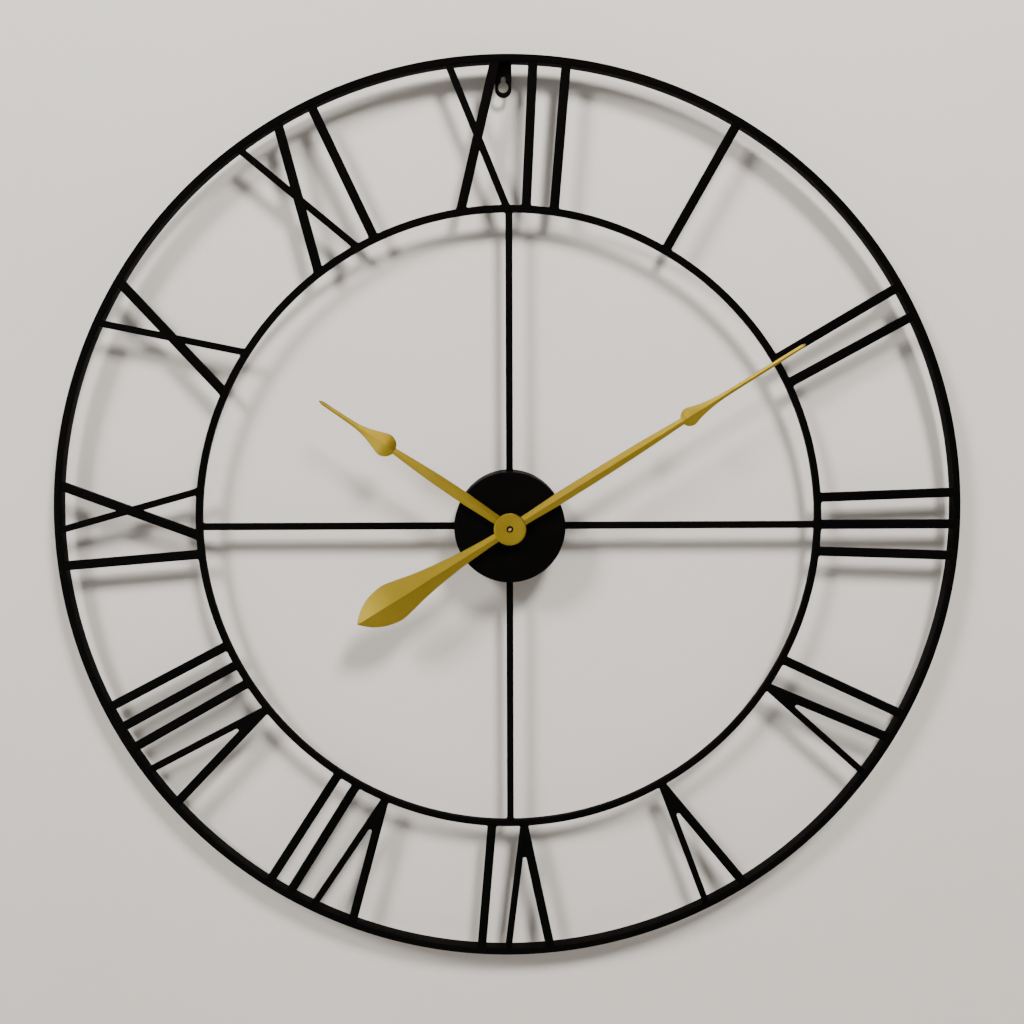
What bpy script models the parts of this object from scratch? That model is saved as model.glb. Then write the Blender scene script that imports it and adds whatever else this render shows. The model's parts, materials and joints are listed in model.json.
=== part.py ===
"""Large skeleton wall clock: two black steel rings joined by welded Roman numerals, a round hub that
houses a battery quartz movement, and a pair of gold sheet-metal hands.

The scene is in metres with +Z up. The dial faces -Y and the wall is the plane Y = 0. The origin is on
the hands' axis, at the wall. Helpers take millimetres: (x, z) in the dial plane, seen from the front
with X to the right, and y as depth, negative towards the viewer. Clock angles are in degrees
clockwise from 12, and every spindle turns clockwise for a positive angle about +Y.
"""

import math

import bmesh
import bpy
from mathutils import Matrix

MM = 0.001
GAP = 0.3  # between pieces that touch or are welded

# Frame
OUTER_R = 400.0
OUTER_BAND = 6.0
RING_BACK_Y = -10.5
INNER_R = 276.3
INNER_BAND = 6.0
FRONT_Y = -22.0  # the front faces of rings, numerals and spokes are flush
STRIP_BACK_Y = -17.0
THICK_STRIP = 8.0
THIN_STRIP = 6.0
STRIP_CHAMFER = 0.4
V_ARM_SPREAD = 19.4  # half the distance between a V's arms where they meet the outer ring
X_ARM_SPREAD = (18.9, 19.5)  # the same for an X, at the inner and at the outer ring
CROTCH_FILLET = 1.6

# Hub
HUB_R = 48.5
HUB_WALL = 1.5
HUB_FRONT_Y = -36.0
HUB_BACK_Y = 0.0
HUB_ROUND_R = 1.2
BUSHING_HOLE_R = 4.4

# Hanger, a keyhole plate behind the outer ring
HANGER_X = -4.4
HANGER_W = 14.0
HANGER_BOTTOM_Z = 367.2
HANGER_TOP_Z = 398.0
HANGER_T = 1.5
KEYHOLE_HEAD_R = 4.5
KEYHOLE_SLOT_R = 2.0
KEYHOLE_HEAD_Z = 375.9
KEYHOLE_TOP_Z = 382.9

# Quartz movement
CASE_W = 56.0
CASE_WALL = 1.2
CASE_FRONT_Y = -32.9
CASE_SPLIT_Y = -20.0
CASE_BACK_Y = -16.4
PIVOT_R = 0.6
BATTERY_R = 7.25
BATTERY_LENGTH = 49.2
BATTERY_Y = -24.2
BATTERY_Z = -19.2
BAY_WALL_Z = -11.65
BAY_WALL_T = 0.8
CELL_X = -0.6
CELL_NUB_R = 2.7
CELL_NUB_LENGTH = 1.3
CONTACT_T = 0.6
CONTACT_POSITIVE_X = 25.7
CONTACT_NEGATIVE_X = -26.3
MAGNET_R = 3.0
STATOR_HOLE_R = 3.5
COIL_X = -22.0
COIL_FLANGE_R = 3.2
COIL_WINDING_R = 2.8
COIL_BORE_R = 2.4
COIL_Z = (7.2, 20.8)
COIL_FLANGE_T = 0.8
CORE_W = 4.0
CORE_T = 1.0
CORE_Z = (3.4, 24.6)
BOARD_LOW = (11.0, -20.4, -9.6)
BOARD_HIGH = (25.8, -19.4, 25.4)
CRYSTAL_R = 0.7
CRYSTAL_X = 18.0
CRYSTAL_Y = -18.5
CRYSTAL_Z = (4.0, 10.0)
KNOB_R = 6.0
KNOB_GROOVE = 0.5
KNOB_KNURLS = 18
KNOB_CAP = (-15.9, -12.4)
KNOB_STEM_R = 1.2

# The stack that clamps the movement to the hub's face
BUSHING_FRONT_Y = -40.2
BUSHING_EDGE = 0.4
RUBBER_WASHER_R = 13.0
FRONT_WASHER_R = 8.5
FRONT_WASHER_T = 0.5
NUT_CORNER_R = 8.1
NUT_T = 2.2

# Spindles at the centre, from the inside out
ARBOR_R = 1.6
HOUR_TUBE_R = 2.55
BUSHING_R = 4.0
ARBOR_TIP_Y = -49.0
ARBOR_SHOULDER_Y = -44.6
ARBOR_BACK_Y = -19.0
HOUR_TUBE = (-43.2, -30.4)
TIP_R = 1.5
TIP_FLAT = 1.1  # from the axis to each of the tip's two flats
OVERLAP = 0.2  # of pieces that are joined into one

# Hands, stored at about ten past ten. Each Y is that of the sheet's front edges.
MINUTE_ANGLE = 58.0
HOUR_ANGLE = 304.2
MINUTE_HAND_Y = -45.4
HOUR_HAND_Y = -41.5
HAND_SHEET = 0.7
MINUTE_RIDGE = 3.4  # how far the fold stands forward where the hand is widest
HOUR_RIDGE = 2.6
RIDGE_POWER = 0.6  # under 1, so that the fold is steeper where the hand is narrow
MINUTE_BOSS = (14.0, -47.5, -45.9)  # radius, front face, back face
HOUR_BOSS = (11.0, -43.1, -40.8)
BUSH = (2.6, -47.1, -45.0)
# Half widths along each hand, (place, half width): the shank up to a round head, and the taper that runs
# from the head to the tip. The minute hand's shank starts with its leaf-shaped counterweight.
MINUTE_SHANK = [
    (-156.5, 0.3), (-152, 4.9), (-145, 10.4), (-134, 15.3), (-121, 17.4), (-108, 15.2), (-92, 11.7),
    (-68, 8.1), (-44, 5.6), (-10, 4.0), (14, 4.2), (56, 5.3), (90, 5.2), (130, 4.5),
]
MINUTE_HEAD = (181.3, 8.15, 3.0)  # place, radius, the shank's half width where it meets the head
MINUTE_TAPER = [(190, 5.75), (200, 3.8), (212, 2.5), (228, 2.1), (270, 1.9), (293, 1.6), (296, 0.5)]
HOUR_SHANK = [(-9, 4.1), (10, 4.2), (52, 5.15), (70, 5.0), (98, 4.0)]
HOUR_HEAD = (129.3, 10.05, 2.8)
HOUR_TAPER = [(140, 6.75), (149, 4.0), (159, 2.4), (170, 2.0), (192, 1.6), (196, 0.5)]
HEAD_LEAN = 20.0  # how far past its widest place, in degrees, the head runs into the taper
HEAD_STEPS = 6
STEPS_BETWEEN_STATIONS = 2

# Numerals: hour -> (strokes, clock angle). The angle is that of the V's or X's centre line, and without
# one it is the numeral's middle. The numerals are welded in by hand, a little off the exact hours.
NUMERALS = {
    1: ("i", 29.5),
    2: ("ii", 60.5),
    3: ("iii", 90.0),
    4: ("iv", 122.5),
    5: ("v", 150.0),
    6: ("vi", 177.5),
    7: ("vii", 204.5),
    8: ("viii", 233.0),
    9: ("ix", 272.5),
    10: ("x", 299.5),
    11: ("xi", 327.5),
    12: ("xii", 355.5),
}
# Degrees from one stroke to the next, at the inner and at the outer ring
STEP_V_TO_I = (6.0, 6.4)
STEP_X_TO_I = (7.6, 7.5)
STEP_I_TO_I = (5.0, 4.1)
STEP_I_TO_I_AFTER_V = (4.0, 3.1)

# Gear train: teeth and module of each meshing pair (wheel, pinion, module)
CENTRE_THIRD = (48, 6, 0.40)
THIRD_SECONDS = (45, 6, 0.36)
SECONDS_STEP = (24, 6, 0.50)
STEP_ROTOR = (45, 6, 0.27)
MOTION_CANNON = (24, 8, 0.55)
HOUR_MOTION = (32, 8, 0.44)
# Directions from each spindle to the next, in degrees from +X towards +Z
THIRD_DIR = 35.0
SECONDS_DIR = 120.0
STEP_DIR = 175.0
ROTOR_DIR = 190.0
MOTION_DIR = 180.0

ADDENDUM = 0.9
DEDENDUM = 1.15
ROOT_SHARE = 0.47  # a tooth's width at its root and at its tip, as shares of the tooth pitch
TIP_SHARE = 0.17

BLACK = ("black_powder_coat", (0.012, 0.012, 0.012), 0.55, 0.0)
GOLD = ("gold_lacquer", (0.62, 0.47, 0.11), 0.34, 1.0)
DARK_STEEL = ("dark_steel", (0.05, 0.05, 0.05), 0.4, 1.0)
BRASS = ("brass", (0.72, 0.52, 0.24), 0.3, 1.0)
STEEL = ("steel", (0.6, 0.6, 0.6), 0.3, 1.0)
COPPER = ("copper_winding", (0.72, 0.33, 0.16), 0.35, 1.0)
CASE_PLASTIC = ("case_plastic", (0.03, 0.03, 0.032), 0.5, 0.0)
WHITE_NYLON = ("white_nylon", (0.82, 0.82, 0.78), 0.5, 0.0)
RUBBER = ("rubber", (0.02, 0.02, 0.02), 0.85, 0.0)
BOARD = ("circuit_board", (0.04, 0.2, 0.08), 0.5, 0.0)
CELL_LABEL = ("battery_sleeve", (0.12, 0.14, 0.16), 0.4, 0.0)


def clear_scene():
    for obj in list(bpy.data.objects):
        bpy.data.objects.remove(obj)


def collection(name):
    made = bpy.data.collections.new(name)
    bpy.context.scene.collection.children.link(made)
    return made


def material(finish):
    name, colour, roughness, metallic = finish
    made = bpy.data.materials.get(name)
    if made:
        return made
    made = bpy.data.materials.new(name)
    made.use_nodes = True
    shader = made.node_tree.nodes["Principled BSDF"]
    shader.inputs["Base Color"].default_value = (*colour, 1.0)
    shader.inputs["Roughness"].default_value = roughness
    shader.inputs["Metallic"].default_value = metallic
    return made


def polar(r, degrees):
    """The point at radius r, its angle measured from +X towards +Z."""
    a = math.radians(degrees)
    return r * math.cos(a), r * math.sin(a)


def clock_point(r, degrees, across=0.0):
    """The point at radius r and a clock angle, moved across to the clockwise side."""
    a = math.radians(degrees)
    return r * math.sin(a) + across * math.cos(a), r * math.cos(a) - across * math.sin(a)


def add(a, b):
    return a[0] + b[0], a[1] + b[1]


def new_object(name, mesh, finish):
    obj = bpy.data.objects.new(name, mesh)
    mesh.materials.append(material(finish))
    parts.objects.link(obj)
    return obj


def cleaned(obj):
    """Welds the loose caps that a filled curve leaves."""
    work = bmesh.new()
    work.from_mesh(obj.data)
    bmesh.ops.remove_doubles(work, verts=work.verts, dist=1e-7)
    bmesh.ops.recalc_face_normals(work, faces=work.faces)
    work.to_mesh(obj.data)
    work.free()
    return obj


def plate(name, outline, y_front, y_back, finish, holes=()):
    """A flat piece: an outline in the dial plane, with holes, extruded between two depths."""
    curve = bpy.data.curves.new(name, "CURVE")
    curve.dimensions = "2D"
    curve.fill_mode = "BOTH"
    curve.extrude = abs(y_back - y_front) / 2 * MM
    for points in (outline, *holes):
        spline = curve.splines.new("POLY")
        spline.points.add(len(points) - 1)
        spline.use_cyclic_u = True
        for point, (x, z) in zip(spline.points, points):
            point.co = (x * MM, z * MM, 0.0, 1.0)
    guide = bpy.data.objects.new(name + "_outline", curve)
    bpy.context.scene.collection.objects.link(guide)
    bpy.context.view_layer.update()
    graph = bpy.context.evaluated_depsgraph_get()
    mesh = bpy.data.meshes.new_from_object(guide.evaluated_get(graph))
    bpy.data.objects.remove(guide)
    mesh.name = name
    middle = Matrix.Translation((0.0, (y_front + y_back) / 2 * MM, 0.0))
    mesh.transform(middle @ Matrix.Rotation(math.pi / 2, 4, "X"))
    return cleaned(new_object(name, mesh, finish))


def circle(r, centre=(0.0, 0.0), sides=24):
    return [add(centre, polar(r, 360 * k / sides)) for k in range(sides)]


def arc(centre, r, first, last, steps):
    """Points along an arc, both ends included."""
    return [add(centre, polar(r, first + (last - first) * k / steps)) for k in range(steps + 1)]


AXIS_TURNS = {
    "X": Matrix.Rotation(-math.pi / 2, 4, "Y"),
    "Y": Matrix.Rotation(math.pi / 2, 4, "X"),
    "Z": Matrix.Rotation(math.pi, 4, "X"),
}


def turned(name, profile, finish, sides, along="Y"):
    """A solid of revolution about the X, Y or Z axis, from (radius, place along it) points that run
    round a closed section."""
    mesh = bpy.data.meshes.new(name)
    points = [(r * MM, 0.0, -place * MM) for r, place in profile]
    edges = [(k, (k + 1) % len(points)) for k in range(len(points))]
    mesh.from_pydata(points, edges, [])
    obj = new_object(name, mesh, finish)
    screw = obj.modifiers.new("turn", "SCREW")
    screw.steps = sides
    screw.render_steps = sides
    screw.use_merge_vertices = True
    screw.merge_threshold = 0.00001
    screw.use_normal_calculate = True
    obj = baked(obj)
    obj.data.transform(AXIS_TURNS[along])
    return cleaned(obj)


def rod(name, r, y_front, y_back, finish, centre=(0.0, 0.0), sides=12):
    return plate(name, circle(r, centre, sides), y_front, y_back, finish)


def block(name, low, high, finish):
    """A box between two corners, each (x, y, z)."""
    mesh = bpy.data.meshes.new(name)
    work = bmesh.new()
    bmesh.ops.create_cube(work, size=1.0)
    size = [abs(b - a) * MM for a, b in zip(low, high)]
    centre = [(a + b) / 2 * MM for a, b in zip(low, high)]
    bmesh.ops.scale(work, vec=size, verts=work.verts)
    bmesh.ops.translate(work, vec=centre, verts=work.verts)
    work.to_mesh(mesh)
    work.free()
    return new_object(name, mesh, finish)


def baked(obj):
    """Applies an object's modifiers to its mesh."""
    bpy.context.view_layer.update()
    graph = bpy.context.evaluated_depsgraph_get()
    mesh = bpy.data.meshes.new_from_object(obj.evaluated_get(graph))
    obj.modifiers.clear()
    obj.data = mesh
    return obj


def combined(obj, others, operation):
    """Joins or cuts obj with each of the others, which become hidden cutters."""
    for other in others:
        step = obj.modifiers.new(other.name, "BOOLEAN")
        step.operation = operation
        step.solver = "EXACT"
        step.object = other
        parts.objects.unlink(other)
        cutters.objects.link(other)
        other.hide_render = True
        other.display_type = "WIRE"
    return obj


def joined(obj, *others):
    return combined(obj, others, "UNION")


def cut(obj, *others):
    return combined(obj, others, "DIFFERENCE")


def chamfered(obj, width):
    edge = obj.modifiers.new("edge", "BEVEL")
    edge.width = width * MM
    edge.segments = 1
    edge.limit_method = "ANGLE"
    edge.angle_limit = math.radians(50)
    return obj


def smooth(obj, degrees=35):
    obj.data.shade_smooth()
    obj.data.set_sharp_from_angle(angle=math.radians(degrees))
    return obj


def on_axis(obj, centre=(0.0, 0.0)):
    """Puts the object's origin on its spindle."""
    shift = Matrix.Translation((centre[0] * MM, 0.0, centre[1] * MM))
    obj.data.transform(shift.inverted())
    obj.matrix_world = shift
    return obj


# ---- frame ----


def ring(name, r, band, y_back, sides):
    profile = [(r, FRONT_Y), (r, y_back), (r - band, y_back), (r - band, FRONT_Y)]
    return smooth(turned(name, profile, BLACK, sides))


def edge_lines(start, end, width):
    """The two long edges of a straight strip, each as (point, direction)."""
    dx, dz = end[0] - start[0], end[1] - start[1]
    length = math.hypot(dx, dz)
    along = (dx / length, dz / length)
    half = (-along[1] * width / 2, along[0] * width / 2)
    return (add(start, half), along), (add(start, (-half[0], -half[1])), along)


def at_radius(line, r):
    """Where a line that points outwards crosses a circle about the centre."""
    (x, z), (dx, dz) = line
    b = x * dx + z * dz
    t = -b + math.sqrt(b * b - (x * x + z * z) + r * r)
    return x + t * dx, z + t * dz


def crossing(one, other):
    (x, z), (dx, dz) = one
    (u, w), (du, dw) = other
    t = ((u - x) * dw - (w - z) * du) / (dx * dw - dz * du)
    return x + t * dx, z + t * dz


R_IN = INNER_R + GAP
R_OUT = OUTER_R - OUTER_BAND - GAP


def strip_outline(left, right, r_in, r_out):
    return [at_radius(left, r_in), at_radius(right, r_in), at_radius(right, r_out), at_radius(left, r_out)]


def i_outline(inner_angle, outer_angle):
    start = clock_point(R_IN, inner_angle)
    end = clock_point(R_OUT, outer_angle)
    left, right = edge_lines(start, end, THICK_STRIP)
    return strip_outline(left, right, R_IN, R_OUT)


def v_outline(angle):
    """A heavy and a light strip that meet on the inner ring, with a filled crotch."""
    apex = clock_point(INNER_R, angle)
    heavy_end = clock_point(OUTER_R - OUTER_BAND, angle, -V_ARM_SPREAD)
    light_end = clock_point(OUTER_R - OUTER_BAND, angle, V_ARM_SPREAD)
    heavy_left, heavy_right = edge_lines(apex, heavy_end, THICK_STRIP)
    light_left, light_right = edge_lines(apex, light_end, THIN_STRIP)
    corner = crossing(heavy_right, light_left)
    half_angle = math.atan(V_ARM_SPREAD / (OUTER_R - OUTER_BAND - INNER_R))
    reach = CROTCH_FILLET / math.sin(half_angle)
    outwards = clock_point(1.0, angle)
    middle = add(corner, (outwards[0] * reach, outwards[1] * reach))
    down = 270 - angle
    turn = 90 - math.degrees(half_angle)
    fillet = arc(middle, CROTCH_FILLET, down + turn, down - turn, 4)
    return [
        at_radius(heavy_left, R_IN),
        at_radius(light_right, R_IN),
        at_radius(light_right, R_OUT),
        at_radius(light_left, R_OUT),
        *fillet,
        at_radius(heavy_right, R_OUT),
        at_radius(heavy_left, R_OUT),
    ]


def x_outline(angle):
    """A heavy and a light strip that cross, welded where they meet."""
    near, far = X_ARM_SPREAD
    r_far = OUTER_R - OUTER_BAND
    heavy_start = clock_point(INNER_R, angle, -near)
    heavy_end = clock_point(r_far, angle, far)
    light_start = clock_point(INNER_R, angle, near)
    light_end = clock_point(r_far, angle, -far)
    heavy_left, heavy_right = edge_lines(heavy_start, heavy_end, THICK_STRIP)
    light_left, light_right = edge_lines(light_start, light_end, THIN_STRIP)
    return [
        at_radius(heavy_left, R_IN),
        at_radius(heavy_right, R_IN),
        crossing(heavy_right, light_left),
        at_radius(light_left, R_IN),
        at_radius(light_right, R_IN),
        crossing(heavy_right, light_right),
        at_radius(heavy_right, R_OUT),
        at_radius(heavy_left, R_OUT),
        crossing(heavy_left, light_right),
        at_radius(light_right, R_OUT),
        at_radius(light_left, R_OUT),
        crossing(heavy_left, light_left),
    ]


def stroke_step(strokes, k):
    """Degrees from stroke k to the next one, at the inner and at the outer ring."""
    pair = strokes[k:k + 2]
    if "v" in pair:
        return STEP_V_TO_I
    if "x" in pair:
        return STEP_X_TO_I
    return STEP_I_TO_I_AFTER_V if "v" in strokes else STEP_I_TO_I


def stroke_angles(strokes, angle):
    """Each stroke's clock angle at the inner and at the outer ring. The V or X, or the numeral's middle,
    lies at the given angle."""
    places = [(0.0, 0.0)]
    for k in range(len(strokes) - 1):
        places.append(add(places[-1], stroke_step(strokes, k)))
    heads = [place for stroke, place in zip(strokes, places) if stroke != "i"]
    middle = heads[0] if heads else (places[-1][0] / 2, places[-1][1] / 2)
    return [(angle + inner - middle[0], angle + outer - middle[1]) for inner, outer in places]


def numerals():
    for hour, (strokes, angle) in NUMERALS.items():
        count = 0
        for stroke, (inner, outer) in zip(strokes, stroke_angles(strokes, angle)):
            if stroke == "i":
                count += 1
                name = f"numeral_{hour}_i{count}"
                outline = i_outline(inner, outer)
            else:
                name = f"numeral_{hour}_{stroke}"
                outline = v_outline(inner) if stroke == "v" else x_outline(inner)
            chamfered(plate(name, outline, FRONT_Y, STRIP_BACK_Y, BLACK), STRIP_CHAMFER)


def spokes():
    start = HUB_R + GAP
    end = INNER_R - INNER_BAND - GAP
    for name, angle in (("top", 0), ("right", 90), ("bottom", 180), ("left", 270)):
        left, right = edge_lines(clock_point(start, angle), clock_point(end, angle), THIN_STRIP)
        outline = strip_outline(left, right, start, end)
        spoke = plate("spoke_" + name, outline, FRONT_Y, STRIP_BACK_Y, BLACK)
        chamfered(spoke, STRIP_CHAMFER)


def hub_drum():
    inner = HUB_R - HUB_WALL
    disc_back = HUB_FRONT_Y + HUB_WALL
    rim = arc((HUB_R - HUB_ROUND_R, HUB_FRONT_Y + HUB_ROUND_R), HUB_ROUND_R, -90, 0, 3)
    profile = [
        (BUSHING_HOLE_R, HUB_FRONT_Y),
        *rim,
        (HUB_R, HUB_BACK_Y),
        (inner, HUB_BACK_Y),
        (inner, disc_back),
        (BUSHING_HOLE_R, disc_back),
    ]
    smooth(turned("hub_drum", profile, BLACK, 72))


def hanger_plate():
    half = HANGER_W / 2
    bottom = arc((HANGER_X, HANGER_BOTTOM_Z + half), half, 180, 360, 10)
    outline = [(HANGER_X - half, HANGER_TOP_Z), *bottom, (HANGER_X + half, HANGER_TOP_Z)]
    neck = math.degrees(math.asin(KEYHOLE_SLOT_R / KEYHOLE_HEAD_R))
    head = arc((HANGER_X, KEYHOLE_HEAD_Z), KEYHOLE_HEAD_R, 90 + neck, 450 - neck, 16)
    top = arc((HANGER_X, KEYHOLE_TOP_Z), KEYHOLE_SLOT_R, 0, 180, 6)
    y_front = RING_BACK_Y + GAP
    plate("hanger_plate", outline, y_front, y_front + HANGER_T, DARK_STEEL, holes=[head + top])


# ---- gears ----


def spacing(pair):
    wheel, pinion, module = pair
    return (wheel + pinion) * module / 2


def tooth_outline(teeth, module, centre, phase):
    """Teeth as plain trapezoids, thinner than half a pitch so that they run free. phase is the angle of
    one tooth's middle."""
    pitch = 360 / teeth
    r_root = teeth * module / 2 - DEDENDUM * module
    r_tip = teeth * module / 2 + ADDENDUM * module
    points = []
    for k in range(teeth):
        middle = phase + k * pitch
        points.append(add(centre, polar(r_root, middle - ROOT_SHARE * pitch / 2)))
        points.append(add(centre, polar(r_tip, middle - TIP_SHARE * pitch / 2)))
        points.append(add(centre, polar(r_tip, middle + TIP_SHARE * pitch / 2)))
        points.append(add(centre, polar(r_root, middle + ROOT_SHARE * pitch / 2)))
    return points


def meshing_phase(teeth, phase, direction, other_teeth):
    """The phase that puts the other gear in mesh: a gap of it faces each tooth, along the direction from
    this gear to the other one."""
    here = (direction - phase) * teeth / 360
    return direction + 180 - (0.5 - here) * 360 / other_teeth


SPINDLE = {"centre": (0.0, 0.0)}
SPINDLE["third"] = polar(spacing(CENTRE_THIRD), THIRD_DIR)
SPINDLE["seconds"] = add(SPINDLE["third"], polar(spacing(THIRD_SECONDS), SECONDS_DIR))
SPINDLE["step"] = add(SPINDLE["seconds"], polar(spacing(SECONDS_STEP), STEP_DIR))
SPINDLE["rotor"] = add(SPINDLE["step"], polar(spacing(STEP_ROTOR), ROTOR_DIR))
SPINDLE["motion"] = polar(spacing(MOTION_CANNON), MOTION_DIR)
SPINDLE["knob"] = add(SPINDLE["motion"], polar(spacing(MOTION_CANNON), MOTION_DIR))

PHASE = {"centre": 0.0, "cannon": 0.0}
PHASE["third_pinion"] = meshing_phase(CENTRE_THIRD[0], PHASE["centre"], THIRD_DIR, CENTRE_THIRD[1])
PHASE["third"] = 0.0
PHASE["seconds_pinion"] = meshing_phase(THIRD_SECONDS[0], PHASE["third"], SECONDS_DIR, THIRD_SECONDS[1])
PHASE["seconds"] = 0.0
PHASE["step_pinion"] = meshing_phase(SECONDS_STEP[0], PHASE["seconds"], STEP_DIR, SECONDS_STEP[1])
PHASE["step"] = 0.0
PHASE["rotor_pinion"] = meshing_phase(STEP_ROTOR[0], PHASE["step"], ROTOR_DIR, STEP_ROTOR[1])
PHASE["motion"] = meshing_phase(MOTION_CANNON[1], PHASE["cannon"], MOTION_DIR, MOTION_CANNON[0])
PHASE["knob"] = meshing_phase(MOTION_CANNON[0], PHASE["motion"], MOTION_DIR, MOTION_CANNON[1])
PHASE["hour"] = 0.0
PHASE["motion_pinion"] = meshing_phase(HOUR_MOTION[0], PHASE["hour"], MOTION_DIR, HOUR_MOTION[1])

# Depths of the gears' layers, from the dial side to the back (front face, back face)
HOUR_LAYER = (-31.2, -30.2)
MOTION_PINION_LAYER = (-31.2, -28.9)
CANNON_LAYER = (-29.7, -28.1)
MOTION_LAYER = (-29.4, -28.4)
CENTRE_LAYER = (-27.8, -27.0)
THIRD_PINION_LAYER = (-27.9, -25.8)
THIRD_LAYER = (-26.2, -25.4)
SECONDS_PINION_LAYER = (-26.5, -24.2)
SECONDS_LAYER = (-24.6, -23.8)
STEP_PINION_LAYER = (-24.9, -20.6)
STEP_LAYER = (-21.0, -20.2)
ROTOR_PINION_LAYER = (-21.4, -19.8)
MAGNET_LAYER = (-28.0, -24.9)
STATOR_LAYER = (-26.6, -25.6)
PIVOT_FRONT_Y = -32.2
PIVOT_BACK_Y = -17.1
PIVOT_BORE_R = 0.9


def toothed(name, teeth, module, spindle, phase, layer, finish, holes=()):
    outline = tooth_outline(teeth, module, SPINDLE[spindle], PHASE[phase])
    return plate(name, outline, *layer, finish, holes=holes)


def wheel_and_pinion(name, wheel, pinion, finish):
    """A train wheel moulded in one piece with its pinion and its two pivots. wheel and pinion are
    (teeth, module, phase, layer), and the spindle has the wheel's name."""
    spindle = name.replace("_wheel", "")
    teeth, module, phase, layer = wheel
    disc = toothed(name, teeth, module, spindle, phase, layer, finish)
    teeth, module, phase, layer = pinion
    leaf = toothed("leaf", teeth, module, spindle, phase, layer, finish)
    arbor = rod("arbor", PIVOT_R, PIVOT_FRONT_Y, PIVOT_BACK_Y, finish, SPINDLE[spindle], 8)
    return on_axis(joined(disc, leaf, arbor), SPINDLE[spindle])


def gear_train():
    teeth, _, module = CENTRE_THIRD
    bore = circle(ARBOR_R + GAP, sides=16)
    on_axis(toothed("centre_wheel", teeth, module, "centre", "centre", CENTRE_LAYER, BRASS, [bore]))
    wheel_and_pinion(
        "third_wheel",
        (THIRD_SECONDS[0], THIRD_SECONDS[2], "third", THIRD_LAYER),
        (CENTRE_THIRD[1], CENTRE_THIRD[2], "third_pinion", THIRD_PINION_LAYER),
        WHITE_NYLON,
    )
    wheel_and_pinion(
        "seconds_wheel",
        (SECONDS_STEP[0], SECONDS_STEP[2], "seconds", SECONDS_LAYER),
        (THIRD_SECONDS[1], THIRD_SECONDS[2], "seconds_pinion", SECONDS_PINION_LAYER),
        WHITE_NYLON,
    )
    wheel_and_pinion(
        "step_wheel",
        (STEP_ROTOR[0], STEP_ROTOR[2], "step", STEP_LAYER),
        (SECONDS_STEP[1], SECONDS_STEP[2], "step_pinion", STEP_PINION_LAYER),
        WHITE_NYLON,
    )


def motion_wheel():
    """It turns on a fixed stud, because the centre wheel lies behind it."""
    at = SPINDLE["motion"]
    teeth, _, module = MOTION_CANNON
    disc = toothed("motion_wheel", teeth, module, "motion", "motion", MOTION_LAYER, WHITE_NYLON)
    _, teeth, module = HOUR_MOTION
    layer = MOTION_PINION_LAYER
    leaf = toothed("leaf", teeth, module, "motion", "motion_pinion", layer, WHITE_NYLON)
    bore = rod("bore", PIVOT_BORE_R, CASE_FRONT_Y, CENTRE_LAYER[0], WHITE_NYLON, at, 10)
    on_axis(cut(joined(disc, leaf), bore), at)


def rotor():
    at = SPINDLE["rotor"]
    magnet = rod("rotor", MAGNET_R, *MAGNET_LAYER, STEEL, at, 20)
    _, teeth, module = STEP_ROTOR
    leaf = toothed("leaf", teeth, module, "rotor", "rotor_pinion", ROTOR_PINION_LAYER, STEEL)
    arbor = rod("arbor", PIVOT_R, PIVOT_FRONT_Y, PIVOT_BACK_Y, STEEL, at, 8)
    on_axis(joined(magnet, leaf, arbor), at)


def minute_arbor():
    """The cannon pinion on its shaft. The tip has two flats that drive the minute hand."""
    shaft = rod("minute_arbor", ARBOR_R, ARBOR_SHOULDER_Y, ARBOR_BACK_Y, BRASS, sides=16)
    _, teeth, module = MOTION_CANNON
    pinion = toothed("pinion", teeth, module, "centre", "cannon", CANNON_LAYER, BRASS)
    tip = plate("tip", tip_outline(0.0), ARBOR_TIP_Y, ARBOR_SHOULDER_Y + OVERLAP, BRASS)
    pivot = rod("pivot", PIVOT_R, ARBOR_BACK_Y - OVERLAP, PIVOT_BACK_Y, BRASS, sides=8)
    on_axis(joined(shaft, pinion, tip, pivot))


def tip_outline(clearance):
    """A round shaft end with two flats, turned to the minute hand's angle."""
    r = TIP_R + clearance
    side = math.degrees(math.acos((TIP_FLAT + clearance) / r))
    along = 90 - MINUTE_ANGLE
    one = arc((0, 0), r, along - 90 + side, along + 90 - side, 4)
    other = arc((0, 0), r, along + 90 + side, along + 270 - side, 4)
    return one + other


def hour_wheel():
    teeth, _, module = HOUR_MOTION
    disc = toothed("hour_wheel", teeth, module, "centre", "hour", HOUR_LAYER, WHITE_NYLON)
    tube = rod("tube", HOUR_TUBE_R, *HOUR_TUBE, WHITE_NYLON, sides=20)
    bore = rod("bore", ARBOR_R + GAP, HOUR_TUBE[0] - 1, HOUR_LAYER[1] + 1, WHITE_NYLON, sides=20)
    on_axis(cut(joined(disc, tube), bore))


def setting_knob():
    at = SPINDLE["knob"]
    _, teeth, module = MOTION_CANNON
    gear = toothed("setting_knob", teeth, module, "knob", "knob", CANNON_LAYER, WHITE_NYLON)
    front = rod("front", PIVOT_R, PIVOT_FRONT_Y, CANNON_LAYER[0] + OVERLAP, WHITE_NYLON, at, 8)
    stem = rod("stem", KNOB_STEM_R, CANNON_LAYER[1] - OVERLAP, KNOB_CAP[0] + OVERLAP, WHITE_NYLON, at, 12)
    radii = [KNOB_R - KNOB_GROOVE, KNOB_R] * KNOB_KNURLS
    grip = [add(at, polar(r, 180 * k / KNOB_KNURLS)) for k, r in enumerate(radii)]
    cap = plate("cap", grip, *KNOB_CAP, WHITE_NYLON)
    on_axis(joined(gear, front, stem, cap), at)


# ---- movement ----


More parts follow.
